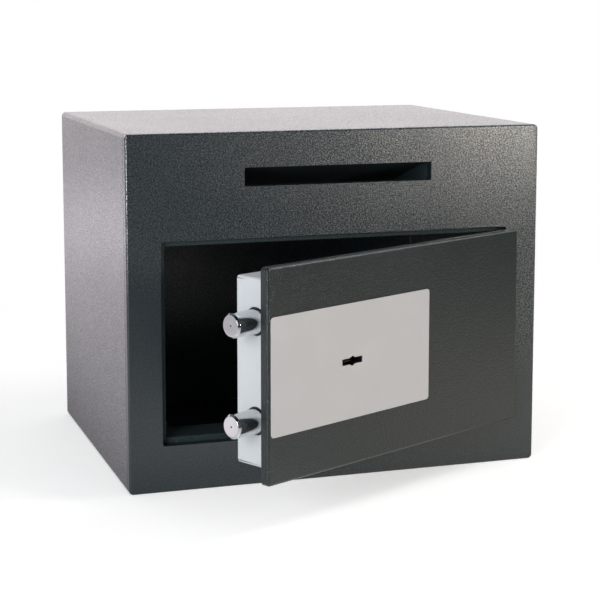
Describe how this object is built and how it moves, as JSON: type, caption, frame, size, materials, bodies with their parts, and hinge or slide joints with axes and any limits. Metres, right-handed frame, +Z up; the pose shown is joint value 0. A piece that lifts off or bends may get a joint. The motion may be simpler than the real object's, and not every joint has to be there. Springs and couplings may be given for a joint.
{
  "type": "deposit safe",
  "caption": "Small steel deposit safe with a letter slot and inner chute over a key-locked door that stands open on concealed hinges with its round bolts thrown.",
  "frame": {"origin": "middle of the base's underside", "axes": "+X to the right seen from the front, +Y from the door back to the rear panel, +Z up"},
  "size_m": [0.38, 0.4491, 0.31],
  "materials": {
    "body_paint": "semi-gloss textured powder coat, dark graphite",
    "inner_paint": "the same coat, thinner and duller inside",
    "door_paint": "fine satin powder coat, dark graphite",
    "casing_paint": "smooth pale grey paint",
    "plate_finish": "matt silver, bare",
    "bolt_chrome": "polished",
    "zinc_screws": "bright zinc plate",
    "plain_steel": "oiled mill finish",
    "lock_brass": "sawn and tumbled"
  },
  "bodies": {
    "body": {"body_wrap": "body_paint", "back_panel": "body_paint", "front_panel": "body_paint", "door_stop_top": "inner_paint", "door_stop_bottom": "inner_paint", "keeper_jamb": "inner_paint", "hinge_jamb": "inner_paint", "chute_trough": "inner_paint", "chute_roof": "inner_paint", "fishing_baffle": "plain_steel", "hinge_bracket_upper": "plain_steel", "hinge_bracket_lower": "plain_steel", "hinge_pins": "plain_steel", "hinge_washers": "lock_brass"},
    "door": {"door_plate": "door_paint", "front_plate": "plate_finish", "keyhole_guide": "plain_steel", "door_casing": "casing_paint", "casing_posts": "plain_steel", "casing_screws": "zinc_screws", "hinge_arm_upper": "plain_steel", "hinge_arm_lower": "plain_steel", "bolt_guide_upper": "plain_steel", "bolt_guide_lower": "plain_steel", "hard_plate": "plain_steel", "lock_case": "lock_brass", "lock_cover": "lock_brass", "lock_screws": "zinc_screws", "lever_post": "plain_steel"},
    "bolts": {"bolt_upper": "bolt_chrome", "bolt_lower": "bolt_chrome", "bolt_carrier": "plain_steel", "carrier_screws": "zinc_screws", "lock_bolt": "plain_steel"},
    "rotor": {"key_rotor": "lock_brass"},
    "levers": {"lock_levers": "lock_brass", "lever_springs": "plain_steel"}
  },
  "joints": [
    {"name": "door_hinge", "type": "hinge", "parent": "body", "child": "door", "pos_m": [0.1805, -0.1265, 0.1295], "axis": [0, 0, 1], "range_deg": [-26.7, 63.3]},
    {"name": "bolt_slide", "type": "slide", "parent": "door", "child": "bolts", "axis": [0.8934, 0.4493, 0], "range_m": [0, 0.022]},
    {"name": "key_turn", "type": "hinge", "parent": "door", "child": "rotor", "pos_m": [-0.03591, -0.23926, 0.1295], "axis": [-0.4493, 0.8934, 0], "range_deg": [0, 180]},
    {"name": "lever_lift", "type": "hinge", "parent": "door", "child": "levers", "pos_m": [-0.05333, -0.24802, 0.1295], "axis": [0.4493, -0.8934, 0], "range_deg": [0, 6], "stiffness_Nm_per_rad": 0.3, "springref_deg": -11.46, "deforming": ["lever_springs"]}
  ],
  "couplings": [
    {"joint": "key_turn", "follows": "bolt_slide", "rad_per_m": 142.79}
  ]
}
